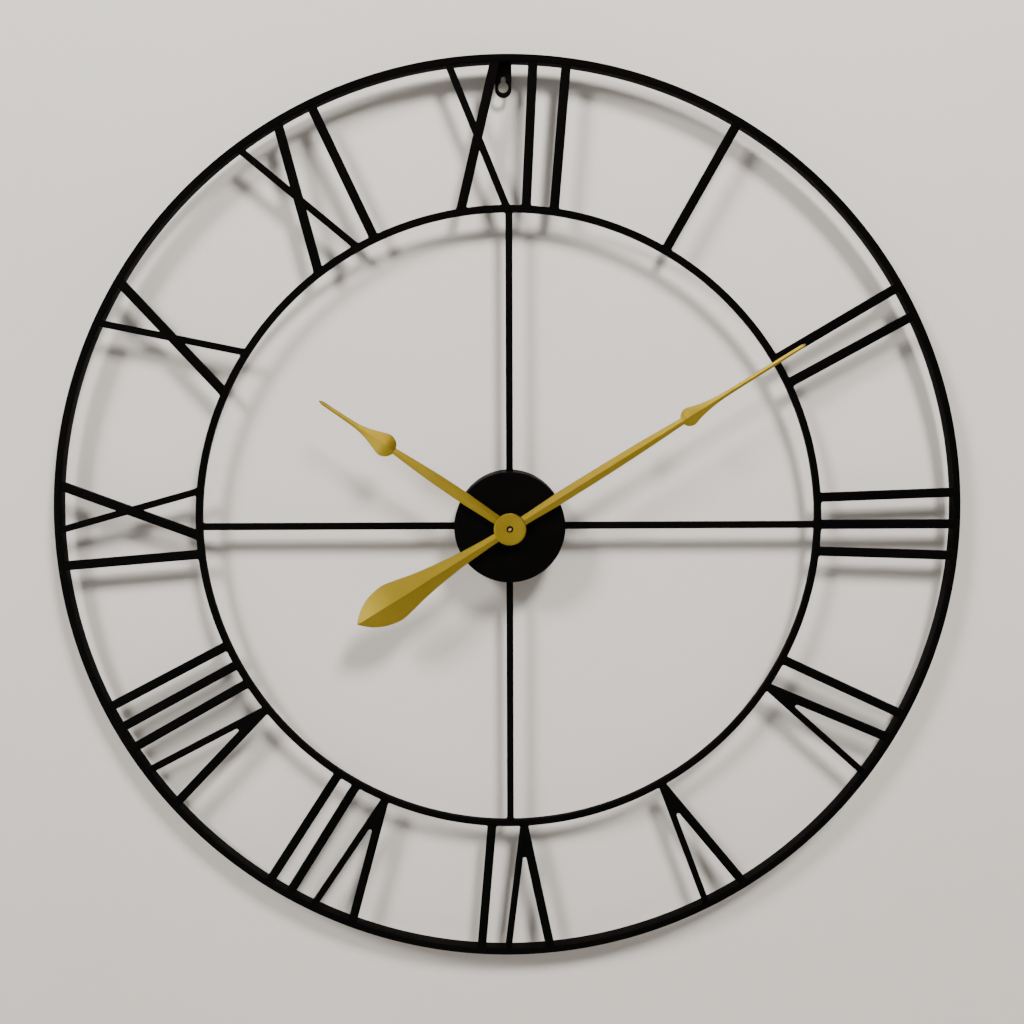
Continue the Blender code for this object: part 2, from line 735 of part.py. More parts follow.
def pivot_bores(spindles, y_front, y_back):
    return [
        rod("bore_" + name, PIVOT_BORE_R, y_front, y_back, CASE_PLASTIC, SPINDLE[name], 8)
        for name in spindles
    ]


def movement_case():
    """The front half of the case: the wheels' compartment above, the battery bay below."""
    half = CASE_W / 2
    inner = half - CASE_WALL
    floor_y = CASE_FRONT_Y + CASE_WALL
    wheels_z = BAY_WALL_Z + BAY_WALL_T
    mouth_y = CASE_SPLIT_Y + 1
    case = block("movement_case", (-half, CASE_FRONT_Y, -half), (half, CASE_SPLIT_Y, half), CASE_PLASTIC)
    wheels = block("wheel_space", (-inner, floor_y, wheels_z), (inner, mouth_y, inner), CASE_PLASTIC)
    bay = block("bay_front", (-inner, floor_y, -inner), (inner, mouth_y, BAY_WALL_Z), CASE_PLASTIC)
    bore = rod("bushing_bore", BUSHING_R + GAP, CASE_FRONT_Y - 1, floor_y + 1, CASE_PLASTIC, sides=24)
    pivots = pivot_bores(("third", "seconds", "step", "rotor", "knob"), PIVOT_FRONT_Y - 0.2, floor_y + 0.5)
    stud_front = floor_y - OVERLAP
    stud = rod("stud", PIVOT_R, stud_front, CENTRE_LAYER[0] - GAP, CASE_PLASTIC, SPINDLE["motion"], 8)
    joined(cut(case, wheels, bay, bore, *pivots), stud)


def movement_cover():
    """The back half, open at the battery bay and pierced for the setting knob."""
    half = CASE_W / 2
    inner = half - CASE_WALL
    lid_front = CASE_BACK_Y - CASE_WALL
    wheels_z = BAY_WALL_Z + BAY_WALL_T
    mouth_y = CASE_SPLIT_Y - 1
    past_back = CASE_BACK_Y + 1
    low = (-half, CASE_SPLIT_Y + GAP, -half)
    cover = block("movement_cover", low, (half, CASE_BACK_Y, half), CASE_PLASTIC)
    wheels = block("lid_space", (-inner, mouth_y, wheels_z), (inner, lid_front, inner), CASE_PLASTIC)
    bay = block("bay_back", (-inner, mouth_y, -inner), (inner, past_back, BAY_WALL_Z), CASE_PLASTIC)
    stem_r = KNOB_STEM_R + GAP
    stem = rod("stem_bore", stem_r, lid_front - 1, past_back, CASE_PLASTIC, SPINDLE["knob"], 12)
    spindles = ("third", "seconds", "step", "rotor", "centre")
    pivots = pivot_bores(spindles, lid_front - 0.5, PIVOT_BACK_Y + 0.2)
    cut(cover, wheels, bay, stem, *pivots)


def clamping_stack():
    """The threaded bushing, its rubber washer behind the hub's face, and the washer and nut in front."""
    hole_r = HOUR_TUBE_R + GAP
    bushing_back = CASE_FRONT_Y + CASE_WALL
    profile = [
        (hole_r, BUSHING_FRONT_Y),
        (BUSHING_R - BUSHING_EDGE, BUSHING_FRONT_Y),
        (BUSHING_R, BUSHING_FRONT_Y + BUSHING_EDGE),
        (BUSHING_R, bushing_back),
        (hole_r, bushing_back),
    ]
    smooth(turned("threaded_bushing", profile, BRASS, 24))

    holes = [circle(BUSHING_R + GAP, sides=24)]
    rubber_front = HUB_FRONT_Y + HUB_WALL + GAP
    rubber_back = CASE_FRONT_Y - GAP
    rubber_rim = circle(RUBBER_WASHER_R, sides=28)
    plate("rubber_washer", rubber_rim, rubber_front, rubber_back, RUBBER, holes)
    washer_back = HUB_FRONT_Y - GAP
    washer_front = washer_back - FRONT_WASHER_T
    plate("front_washer", circle(FRONT_WASHER_R, sides=28), washer_front, washer_back, BRASS, holes)
    nut_back = washer_front - GAP
    plate("hex_nut", circle(NUT_CORNER_R, sides=6), nut_back - NUT_T, nut_back, BRASS, holes)


def drive_coil():
    """A stepping motor's stator, with the core that joins its two limbs and the coil wound on it."""
    limb_end = COIL_X - CORE_W / 2
    window_x = -16.5
    outline = [
        (limb_end, 3.0), (-8.0, 3.0), (-4.6, 8.0), (-4.6, 19.0), (-8.0, 25.0), (limb_end, 25.0),
        (limb_end, 21.5), (window_x, 21.5), (window_x, 6.5), (limb_end, 6.5),
    ]
    hole = circle(STATOR_HOLE_R, SPINDLE["rotor"], 20)
    plate("stator", outline, *STATOR_LAYER, STEEL, [hole])

    core_front = STATOR_LAYER[1] + GAP
    low = (COIL_X - CORE_W / 2, core_front, CORE_Z[0])
    high = (COIL_X + CORE_W / 2, core_front + CORE_T, CORE_Z[1])
    block("coil_core", low, high, STEEL)

    bottom, top = COIL_Z
    profile = [
        (COIL_BORE_R, bottom),
        (COIL_FLANGE_R, bottom),
        (COIL_FLANGE_R, bottom + COIL_FLANGE_T),
        (COIL_WINDING_R, bottom + COIL_FLANGE_T),
        (COIL_WINDING_R, top - COIL_FLANGE_T),
        (COIL_FLANGE_R, top - COIL_FLANGE_T),
        (COIL_FLANGE_R, top),
        (COIL_BORE_R, top),
    ]
    coil = turned("coil", profile, COPPER, 20, along="Z")
    coil.data.transform(Matrix.Translation((COIL_X * MM, (core_front + CORE_T / 2) * MM, 0.0)))


def electronics():
    block("circuit_board", BOARD_LOW, BOARD_HIGH, BOARD)
    low, high = CRYSTAL_Z
    profile = [(0.0, low), (CRYSTAL_R, low), (CRYSTAL_R, high), (0.0, high)]
    crystal = turned("quartz_crystal", profile, STEEL, 12, along="Z")
    crystal.data.transform(Matrix.Translation((CRYSTAL_X * MM, CRYSTAL_Y * MM, 0.0)))


def battery():
    """An AA cell, its button towards +X, with a flat contact at each end."""
    r = BATTERY_R
    half = BATTERY_LENGTH / 2
    profile = [
        (0.0, -half),
        (r - 0.4, -half),
        (r, -half + 0.4),
        (r, half - 0.6),
        (r - 0.6, half),
        (CELL_NUB_R, half),
        (CELL_NUB_R, half + CELL_NUB_LENGTH),
        (0.0, half + CELL_NUB_LENGTH),
    ]
    cell = turned("battery_aa", profile, CELL_LABEL, 32, along="X")
    cell.data.transform(Matrix.Translation((CELL_X * MM, BATTERY_Y * MM, BATTERY_Z * MM)))
    on_axis(smooth(cell), (CELL_X, BATTERY_Z))
    for name, x in (("contact_positive", CONTACT_POSITIVE_X), ("contact_negative", CONTACT_NEGATIVE_X)):
        low = (x, BATTERY_Y - 5.5, BATTERY_Z - 5.5)
        high = (x + CONTACT_T, BATTERY_Y + 6.5, BATTERY_Z + 5.5)
        block(name, low, high, STEEL)


# ---- hands ----


def smooth_outline(stations):
    """Points on a smooth curve through the stations, which never swings past them."""
    gaps = [b[0] - a[0] for a, b in zip(stations, stations[1:])]
    climbs = [(b[1] - a[1]) / gap for a, b, gap in zip(stations, stations[1:], gaps)]
    slopes = [climbs[0]]
    for before, after in zip(climbs, climbs[1:]):
        same_way = before * after > 0
        slopes.append(2 * before * after / (before + after) if same_way else 0.0)
    slopes.append(climbs[-1])
    points = [stations[0]]
    for k, gap in enumerate(gaps):
        (s, low), (_, high) = stations[k], stations[k + 1]
        for step in range(1, STEPS_BETWEEN_STATIONS + 1):
            t = step / STEPS_BETWEEN_STATIONS
            ease = t * t * (3 - 2 * t)
            lean = gap * (slopes[k] * t * (1 - t) ** 2 - slopes[k + 1] * t * t * (1 - t))
            points.append((s + t * gap, low + (high - low) * ease + lean))
    return points


def hand_outline(shank, head, taper):
    """Half widths along a whole hand: smooth up to the head, an arc round it, and smooth to the tip."""
    place, r, meeting = head
    first = math.degrees(math.asin(meeting / r))
    last = 90 + HEAD_LEAN
    round_part = []
    for k in range(HEAD_STEPS + 1):
        x, half = polar(r, first + (last - first) * k / HEAD_STEPS)
        round_part.append((place - x, half))
    before = smooth_outline(shank + round_part[:1])
    after = smooth_outline(round_part[-1:] + taper)
    return before[:-1] + round_part + after[1:]


def hand_blade(name, outline, y, ridge, angle):
    """Sheet folded along its middle: a ridge towards the viewer that flattens where the hand narrows.
    The sections are lofted along the hand."""
    mesh = bpy.data.meshes.new(name)
    work = bmesh.new()
    widest = max(half for _, half in outline)
    rings = []
    for s, half in outline:
        rise = ridge * (half / widest) ** RIDGE_POWER
        section = [
            (-half, 0.0), (0.0, -rise), (half, 0.0),
            (half, HAND_SHEET), (0.0, HAND_SHEET - rise), (-half, HAND_SHEET),
        ]
        loop = []
        for across, depth in section:
            x, z = clock_point(s, angle, across)
            loop.append(work.verts.new((x * MM, (y + depth) * MM, z * MM)))
        rings.append(loop)
    for one, other in zip(rings, rings[1:]):
        for k in range(6):
            work.faces.new((one[k], one[(k + 1) % 6], other[(k + 1) % 6], other[k]))
    work.faces.new(rings[0])
    work.faces.new(list(reversed(rings[-1])))
    bmesh.ops.recalc_face_normals(work, faces=work.faces)
    work.to_mesh(mesh)
    work.free()
    return new_object(name, mesh, GOLD)


def minute_hand():
    """The blade with its round boss, and the dark bush that grips the shaft's flats."""
    outline = hand_outline(MINUTE_SHANK, MINUTE_HEAD, MINUTE_TAPER)
    blade = hand_blade("minute_hand", outline, MINUTE_HAND_Y, MINUTE_RIDGE, MINUTE_ANGLE)
    boss = rod("boss", *MINUTE_BOSS, GOLD, sides=40)
    bush_r, bush_front, bush_back = BUSH
    hole = rod("bush_hole", bush_r + GAP, MINUTE_BOSS[1] - 1, MINUTE_HAND_Y + 1, GOLD, sides=24)
    on_axis(cut(joined(blade, boss), hole))
    rim = circle(bush_r, sides=24)
    plate("minute_hand_bush", rim, bush_front, bush_back, DARK_STEEL, [tip_outline(GAP)])


def hour_hand():
    outline = hand_outline(HOUR_SHANK, HOUR_HEAD, HOUR_TAPER)
    blade = hand_blade("hour_hand", outline, HOUR_HAND_Y, HOUR_RIDGE, HOUR_ANGLE)
    boss = rod("boss", *HOUR_BOSS, GOLD, sides=36)
    hole = rod("tube_hole", HOUR_TUBE_R + GAP, HOUR_BOSS[1] - 1, HOUR_BOSS[2] + 1, GOLD, sides=24)
    on_axis(cut(joined(blade, boss), hole))


clear_scene()
parts = collection("skeleton_wall_clock")
cutters = collection("skeleton_wall_clock_cutters")
ring("outer_ring", OUTER_R, OUTER_BAND, RING_BACK_Y, 96)
ring("inner_ring", INNER_R, INNER_BAND, STRIP_BACK_Y, 72)
numerals()
spokes()
hub_drum()
hanger_plate()
movement_case()
movement_cover()
clamping_stack()
gear_train()
motion_wheel()
rotor()
minute_arbor()
hour_wheel()
setting_knob()
drive_coil()
electronics()
battery()
minute_hand()
hour_hand()
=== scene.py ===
"""Looks of the large skeleton wall clock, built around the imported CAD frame.

The frame's own axes are kept: +Z up, the dial faces -Y, the wall is the plane Y = 0 and the origin is on
the hands' axis at the wall. Lengths are in metres, and sizes in millimetres are turned into metres by MM.
Clock angles are in degrees clockwise from 12.
"""

import json
import math

import bmesh
import bpy
from mathutils import Matrix, Vector


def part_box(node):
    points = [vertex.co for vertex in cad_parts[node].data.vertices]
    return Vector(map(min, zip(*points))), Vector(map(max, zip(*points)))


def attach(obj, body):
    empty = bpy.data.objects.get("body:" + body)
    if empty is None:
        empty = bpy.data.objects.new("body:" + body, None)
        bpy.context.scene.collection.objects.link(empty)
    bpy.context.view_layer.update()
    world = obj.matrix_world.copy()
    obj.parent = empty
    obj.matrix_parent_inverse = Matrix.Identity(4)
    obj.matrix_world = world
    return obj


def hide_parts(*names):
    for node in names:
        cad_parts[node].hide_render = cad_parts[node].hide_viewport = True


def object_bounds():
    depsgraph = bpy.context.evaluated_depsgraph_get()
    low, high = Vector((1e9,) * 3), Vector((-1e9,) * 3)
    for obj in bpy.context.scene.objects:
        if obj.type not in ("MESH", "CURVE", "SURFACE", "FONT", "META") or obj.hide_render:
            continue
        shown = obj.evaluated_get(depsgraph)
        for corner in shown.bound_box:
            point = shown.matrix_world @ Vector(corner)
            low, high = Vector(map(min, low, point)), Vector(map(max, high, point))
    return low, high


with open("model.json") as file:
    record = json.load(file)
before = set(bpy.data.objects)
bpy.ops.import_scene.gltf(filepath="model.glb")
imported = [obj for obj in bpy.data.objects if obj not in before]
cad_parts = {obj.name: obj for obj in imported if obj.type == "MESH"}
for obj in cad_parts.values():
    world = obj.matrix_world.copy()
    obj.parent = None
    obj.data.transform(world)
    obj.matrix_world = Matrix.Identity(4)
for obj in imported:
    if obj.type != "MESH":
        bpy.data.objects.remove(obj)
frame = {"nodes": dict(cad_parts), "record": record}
cad_low, cad_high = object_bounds()

MM = 0.001

# Camera and stage
CAMERA_AT = (-0.0096, -0.942, 0.1152)
CAMERA_PITCH = 6.383
CAMERA_YAW = 0.723
CAMERA_ROLL = 0.22
LENS_MM = 36.93
SENSOR_MM = 36.0
WALL_SIZE = 5.0
ROOM_DEPTH = 3.0
FLOOR_Z = -1.1
WALL_GAP = 0.0005
AMBIENT = 0.03

# Meshes
SAME_POINT = 1e-7  # metres
FLAT_ANGLE = 0.5  # degrees: faces that bend less than this are joined
SHARP_ANGLE = 30.0  # edges that bend more than this are rounded
SMOOTH_ANGLE = 35.0  # and edges that bend less than this are shaded smooth

# Frame, in millimetres. These sizes are the CAD's, apart from the roundings.
RING_BAND = 6.0
RING_ROUND = 0.7
OUTER_RING_SIDES = 360
INNER_RING_SIDES = 288
STRIP_EDGE = 0.16
HANGER_EDGE = 0.25
HUB_WALL = 1.5
HUB_FRONT_ROUND = 2.0
HUB_INNER_ROUND = 0.8
HUB_REAR_EDGE = 0.4
HUB_HOLE_EDGE = 0.15
HUB_SIDES = 160
BUSHING_HOLE_R = 4.4

# Hands. The outlines, folds and bosses are the CAD's own.
MINUTE_ANGLE = 58.0
HOUR_ANGLE = 304.2
MINUTE_HAND_Y = -45.4
HOUR_HAND_Y = -41.5
HAND_SHEET = 0.7
HAND_ROUND = 0.25
MINUTE_RIDGE = 3.4
HOUR_RIDGE = 2.6
RIDGE_POWER = 0.6
MINUTE_BOSS = (14.0, -47.5, -45.9)  # radius, front face, back face
HOUR_BOSS = (11.0, -43.1, -40.8)
MINUTE_BUSH_HOLE_R = 2.9
HOUR_TUBE_HOLE_R = 2.85
# (place, half width) along each hand: the shank up to a round head, and the taper from the head to the tip
MINUTE_SHANK = [
    (-156.5, 0.3), (-152, 4.9), (-145, 10.4), (-134, 15.3), (-121, 17.4), (-108, 15.2), (-92, 11.7),
    (-68, 8.1), (-44, 5.6), (-10, 4.0), (14, 4.2), (56, 5.3), (90, 5.2), (130, 4.5),
]
MINUTE_HEAD = (181.3, 8.15, 3.0)  # place, radius, the shank's half width where it meets the head
MINUTE_TAPER = [(190, 5.75), (200, 3.8), (212, 2.5), (228, 2.1), (270, 1.9), (293, 1.6), (296, 0.5)]
HOUR_SHANK = [(-9, 4.1), (10, 4.2), (52, 5.15), (70, 5.0), (98, 4.0)]
HOUR_HEAD = (129.3, 10.05, 2.8)
HOUR_TAPER = [(140, 6.75), (149, 4.0), (159, 2.4), (170, 2.0), (192, 1.6), (196, 0.5)]
HEAD_LEAN = 20.0
HEAD_STEPS = 24
STEPS_BETWEEN_STATIONS = 8
BOSS_EDGE = 0.8
BOSS_SIDES = 96
DRILL_SPARE = 0.4
DRILL_REACH = 6.0
FACET_ANGLE = 22.0  # a hand's fold stays crisp from this angle up

# Welds. The CAD leaves a gap at each joint, and the seam fills it.
GAP = 0.3
FILLET = 1.4
SEAM_ROOT = 0.1  # how far the seam reaches into the ring
SEAM_OVERLAP = 0.5  # how far it lies inside the strip
SEAM_END = 0.2  # and how far past its fillets
SEAM_RECESS = 0.08
SEAM_EDGE = 0.25
BEAD_R = 1.4
BEAD_PITCH = 1.3
BEAD_STEP = 0.35
BEAD_RIPPLE = 0.10
BEAD_SIDES = 10
BEAD_SMOOTH = 60.0
FLUSH_BEAD = 0.45  # how high a bead is, to its width, where the ring ends flush with the strips

# Movement
CASE_EDGE = 0.6
KNOB_GRIP_DEPTH = 4.0
GUARD_CLEARANCE = 0.9
GUARD_WIDTH = 0.9
GUARD_HEIGHT = 0.8
RELIEF_SINK = 0.1
RELIEF_HEIGHT = 0.35
RIB_PLACES = (4.0, 8.0, 12.0, 16.0, 20.0)
RIB_WIDTH = 1.0
RIB_SPAN = (4.0, 22.0)
MARK_X = 20.0
MARK_Z = -8.0
MARK_HALF = 1.6
MARK_THIN = 0.35
BUTTON_LENGTH = 1.3
BUTTON_R = 2.7
BUTTON_EDGE = 0.4
SLEEVE_CURL = 0.5


# ---- materials ----


def new_material(name, colour, roughness, metallic=0.0):
    made = bpy.data.materials.new(name)
    made.use_nodes = True
    shader = made.node_tree.nodes["Principled BSDF"]
    shader.inputs["Base Color"].default_value = (*colour, 1.0)
    shader.inputs["Roughness"].default_value = roughness
    shader.inputs["Metallic"].default_value = metallic
    return made


class Nodes:
    """Adds nodes to one material and links them."""

    def __init__(self, made):
        self.tree = made.node_tree
        self.shader = self.tree.nodes["Principled BSDF"]
        self.place = self.add("ShaderNodeTexCoord").outputs["Object"]

    def add(self, kind, **inputs):
        node = self.tree.nodes.new(kind)
        for key, value in inputs.items():
            node.inputs[key.replace("_", " ")].default_value = value
        return node

    def link(self, out, into):
        self.tree.links.new(out, into)

    def noise(self, scale, detail=3.0, roughness=0.5, stretch=None):
        node = self.add("ShaderNodeTexNoise", Scale=scale, Detail=detail, Roughness=roughness)
        source = self.place
        if stretch:
            mapping = self.add("ShaderNodeMapping", Scale=stretch)
            self.link(source, mapping.inputs["Vector"])
            source = mapping.outputs["Vector"]
        self.link(source, node.inputs["Vector"])
        return node.outputs["Fac"]

    def ramp(self, value, stops):
        """stops are (place, colour or grey) pairs."""
        node = self.add("ShaderNodeValToRGB")
        self.link(value, node.inputs["Fac"])
        elements = node.color_ramp.elements
        while len(elements) < len(stops):
            elements.new(0.5)
        for element, (place, colour) in zip(elements, stops):
            element.position = place
            element.color = (*colour, 1.0) if isinstance(colour, tuple) else (colour, colour, colour, 1.0)
        return node.outputs["Color"]

    def multiply(self, one, other):
        """One colour darkened by another. The numbers are the Mix node's colour sockets."""
        node = self.tree.nodes.new("ShaderNodeMix")
        node.data_type = "RGBA"
        node.blend_type = "MULTIPLY"
        node.inputs[0].default_value = 1.0
        self.link(one, node.inputs[6])
        self.link(other, node.inputs[7])
        return node.outputs[2]

    def colour(self, out):
        self.link(out, self.shader.inputs["Base Color"])

    def roughness(self, out, low, high):
        node = self.add("ShaderNodeMapRange")
        node.inputs["To Min"].default_value = low
        node.inputs["To Max"].default_value = high
        self.link(out, node.inputs["Value"])
        self.link(node.outputs["Result"], self.shader.inputs["Roughness"])

    def bump(self, *layers):
        """Each layer is (height output, depth in metres)."""
        below = None
        for height, depth in layers:
            node = self.add("ShaderNodeBump", Distance=depth, Strength=1.0)
            self.link(height, node.inputs["Height"])
            if below:
                self.link(below, node.inputs["Normal"])
            below = node.outputs["Normal"]
        self.link(below, self.shader.inputs["Normal"])


def powder_coat():
    """Black polyester powder, with a fine orange peel. It is as dark as the photo shows it."""
    made = new_material("black_powder_coat", (0.0015, 0.0014, 0.0014), 0.5)
    n = Nodes(made)
    n.shader.inputs["Specular IOR Level"].default_value = 0.025
    grain = n.noise(2600.0, 3.0, 0.6)
    peel = n.noise(620.0, 2.0, 0.5)
    drift = n.noise(16.0, 3.0, 0.55)
    n.colour(n.ramp(drift, [(0.3, (0.0012, 0.0011, 0.0011)), (0.7, (0.0020, 0.0018, 0.0017))]))
    n.roughness(grain, 0.50, 0.68)
    n.bump((peel, 0.00007), (grain, 0.00003))
    return made


def weld_coat():
    """The same powder over a weld's ripples, a little glossier."""
    made = new_material("coated_weld", (0.0024, 0.0022, 0.0021), 0.42)
    n = Nodes(made)
    n.shader.inputs["Specular IOR Level"].default_value = 0.06
    ripple = n.noise(900.0, 4.0, 0.6)
    lump = n.noise(260.0, 2.0, 0.5)
    n.colour(n.ramp(lump, [(0.3, (0.0016, 0.0015, 0.0015)), (0.7, (0.0030, 0.0027, 0.0025))]))
    n.roughness(ripple, 0.36, 0.58)
    n.bump((lump, 0.0004), (ripple, 0.00012))
    return made


def gold_lacquer():
    """Gold-lacquered sheet: a satin metal with a faint mottle and a slow drift of shade."""
    made = new_material("gold_lacquer", (0.38, 0.26, 0.032), 0.34, 1.0)
    n = Nodes(made)
    drift = n.noise(22.0, 3.0, 0.5)
    mottle = n.noise(420.0, 4.0, 0.6)
    base = n.ramp(drift, [(0.28, (0.338, 0.240, 0.022)), (0.72, (0.400, 0.290, 0.033))])
    fine = n.ramp(mottle, [(0.2, 0.92), (0.8, 1.0)])
    n.colour(n.multiply(base, fine))
    n.roughness(mottle, 0.30, 0.44)
    n.bump((mottle, 0.00003), (n.noise(3200.0, 2.0), 0.00001))
    return made


def metal(name, dark, light, low, high, scale=900.0, stretch=None):
    """A bare metal with fine marks, drawn out along one way where stretch says so."""
    made = new_material(name, light, (low + high) / 2, 1.0)
    n = Nodes(made)
    marks = n.noise(scale, 4.0, 0.6, stretch)
    drift = n.noise(70.0, 2.0, 0.5)
    tone = n.ramp(drift, [(0.25, dark), (0.75, light)])
    n.colour(n.multiply(tone, n.ramp(marks, [(0.2, 0.86), (0.8, 1.0)])))
    n.roughness(marks, low, high)
    n.bump((marks, 0.00002))
    return made


def moulded_plastic(name, dark, light, low, high, spark=1500.0, depth=0.00004):
    """Injection-moulded plastic with a spark-eroded texture and a slow change of shade."""
    made = new_material(name, light, (low + high) / 2)
    n = Nodes(made)
    texture = n.noise(spark, 3.0, 0.6)
    flow = n.noise(45.0, 2.0, 0.5)
    n.colour(n.ramp(flow, [(0.3, dark), (0.7, light)]))
    n.roughness(texture, low, high)
    n.bump((texture, depth))
    return made


def circuit_board_material():
    """Green solder mask over faint copper tracks."""
    made = new_material("circuit_board", (0.012, 0.085, 0.030), 0.35)
    n = Nodes(made)
    tracks = n.add("ShaderNodeTexBrick", Scale=420.0, Mortar_Size=0.03)
    tracks.inputs["Color1"].default_value = (0.010, 0.075, 0.026, 1.0)
    tracks.inputs["Color2"].default_value = (0.013, 0.088, 0.031, 1.0)
    tracks.inputs["Mortar"].default_value = (0.045, 0.170, 0.050, 1.0)
    turned = n.add("ShaderNodeMapping", Rotation=(math.pi / 2, 0.0, 0.0))
    n.link(n.place, turned.inputs["Vector"])
    n.link(turned.outputs["Vector"], tracks.inputs["Vector"])
    n.colour(tracks.outputs["Color"])
    n.roughness(n.noise(1200.0), 0.28, 0.42)
    n.bump((tracks.outputs["Fac"], 0.00003))
    return made


def copper_winding():
    """Enamelled wire, wound side by side around the coil's length, with painted shade in the grooves between
    the turns and a painted highlight on their crests.
    """
    made = new_material("copper_winding", (0.62, 0.23, 0.075), 0.3, 1.0)
    n = Nodes(made)
    turns_and_groove_shade = n.add("ShaderNodeTexWave", Scale=1600.0, Distortion=0.4)
    turns_and_groove_shade.bands_direction = "Z"
    n.link(n.place, turns_and_groove_shade.inputs["Vector"])
    # The ramp paints light and shade: darker colour in the grooves between the turns, where the bump is low,
    # and lighter colour on the crests.
    n.colour(n.ramp(turns_and_groove_shade.outputs["Fac"], [(0.15, (0.30, 0.085, 0.025)), (0.8, (0.72, 0.29, 0.10))]))
    n.roughness(n.noise(900.0), 0.22, 0.36)
    n.bump((turns_and_groove_shade.outputs["Fac"], 0.00008))
    return made


def cell_sleeve():
    """A plain shrink sleeve: dark, with a copper-coloured band at the button's end and no lettering."""
    made = new_material("battery_sleeve", (0.02, 0.025, 0.03), 0.25)
    n = Nodes(made)
    n.shader.inputs["Coat Weight"].default_value = 0.5
    n.shader.inputs["Coat Roughness"].default_value = 0.12
    along = n.add("ShaderNodeSeparateXYZ")
    n.link(n.place, along.inputs["Vector"])
    share = n.add("ShaderNodeMapRange")
    low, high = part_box("battery_aa")
    share.inputs["From Min"].default_value = low.x
    share.inputs["From Max"].default_value = high.x
    n.link(along.outputs["X"], share.inputs["Value"])
    band = n.ramp(share.outputs["Result"], [
        (0.0, (0.018, 0.022, 0.028)), (0.715, (0.018, 0.022, 0.028)), (0.72, (0.42, 0.17, 0.055)),
    ])
    n.colour(band)
    n.roughness(n.noise(500.0, 3.0), 0.18, 0.32)
    n.bump((n.noise(90.0, 2.0), 0.00004))
    return made


def room_paint(name, dark, light):
    """Matt emulsion put on with a roller."""
    made = new_material(name, light, 0.85)
    n = Nodes(made)
    stipple = n.noise(520.0, 3.0, 0.6)
    n.colour(n.ramp(n.noise(3.0, 3.0), [(0.3, dark), (0.7, light)]))
    n.roughness(stipple, 0.78, 0.92)
    n.bump((stipple, 0.00012))
    return made


def one_sided(made):
    """Leaves out the back of a wall, so that the clock's own back can be looked at through it."""
    n = Nodes(made)
    choose = n.add("ShaderNodeMixShader")
    n.link(n.add("ShaderNodeNewGeometry").outputs["Backfacing"], choose.inputs[0])
    n.link(n.shader.outputs[0], choose.inputs[1])
    n.link(n.add("ShaderNodeBsdfTransparent").outputs[0], choose.inputs[2])
    n.link(choose.outputs[0], n.tree.nodes["Material Output"].inputs["Surface"])
    return made


BLACK = powder_coat()
WELD = weld_coat()
GOLD = gold_lacquer()
DARK_STEEL = metal("blackened_steel", (0.004, 0.004, 0.004), (0.009, 0.0085, 0.0085), 0.42, 0.6)
BRASS = metal("brass", (0.52, 0.36, 0.13), (0.72, 0.53, 0.24), 0.20, 0.36, 1400.0)
STEEL = metal("steel", (0.42, 0.42, 0.43), (0.60, 0.60, 0.61), 0.18, 0.34, 1200.0, (1.0, 1.0, 12.0))
COPPER = copper_winding()
CASE = moulded_plastic("case_plastic", (0.014, 0.014, 0.015), (0.024, 0.024, 0.026), 0.42, 0.62)
NYLON = moulded_plastic("white_nylon", (0.66, 0.66, 0.61), (0.76, 0.76, 0.72), 0.34, 0.5, 900.0, 0.00002)
RUBBER = moulded_plastic("rubber", (0.012, 0.012, 0.012), (0.024, 0.023, 0.022), 0.72, 0.9, 700.0)
BOARD = circuit_board_material()
CELL = cell_sleeve()

SLOT_MATERIALS = {
    "black_powder_coat": BLACK,
    "blackened_steel": DARK_STEEL,
    "gold_lacquer": GOLD,
    "brass": BRASS,
    "steel": STEEL,
    "copper_wire": COPPER,
    "case_plastic": CASE,
    "white_nylon": NYLON,
    "rubber": RUBBER,
    "circuit_board": BOARD,
    "battery_sleeve": CELL,
}
NODE_SLOT = {part["node"]: part["material_slot"] for part in frame["record"]["subparts"]}
NODE_BODY = {
    node: body for body, nodes in frame["record"]["behaviour"]["bodies"].items() for node in nodes
}


def dress_frame():
    """Gives every carried-over CAD node its finish."""
    for name, node in frame["nodes"].items():
        node.data.materials.clear()
        node.data.materials.append(SLOT_MATERIALS[NODE_SLOT[name]])


# ---- mesh helpers ----


def clock_point(r, degrees, across=0.0):
    """(x, z) at radius r and a clock angle, moved across to the clockwise side."""
    a = math.radians(degrees)
    return r * math.sin(a) + across * math.cos(a), r * math.cos(a) - across * math.sin(a)


def finished(name, work):
    """Turns a bmesh into a mesh with its faces pointing out."""
    bmesh.ops.remove_doubles(work, verts=work.verts, dist=SAME_POINT)
    bmesh.ops.recalc_face_normals(work, faces=work.faces)
    mesh = bpy.data.meshes.new(name)
    work.to_mesh(mesh)
    work.free()
    return mesh


def loose(name, data):
    obj = bpy.data.objects.new(name, data)
    bpy.context.scene.collection.objects.link(obj)
    return obj


def piece(name, mesh, finish, body, slot, *replaced, smooth=SMOOTH_ANGLE):
    """A finished piece that rides on a body and stands for the CAD nodes named."""
    obj = loose(name, mesh)
    mesh.materials.clear()
    mesh.materials.append(finish)
    mesh.shade_smooth()
    mesh.set_sharp_from_angle(angle=math.radians(smooth))
    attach(obj, body)
    if replaced:
        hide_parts(*replaced)


def skin(work, rings, closed=False):
    """Joins rings of points, each a closed loop, into a tube, with caps unless the tube is closed."""
    loops = [[work.verts.new(point) for point in ring] for ring in rings]
    pairs = zip(loops, loops[1:] + loops[:1]) if closed else zip(loops, loops[1:])
    for one, other in pairs:
        for k in range(len(one)):
            i = (k + 1) % len(one)
            work.faces.new((one[k], one[i], other[i], other[k]))
    if not closed:
        work.faces.new(loops[0])
        work.faces.new(list(reversed(loops[-1])))


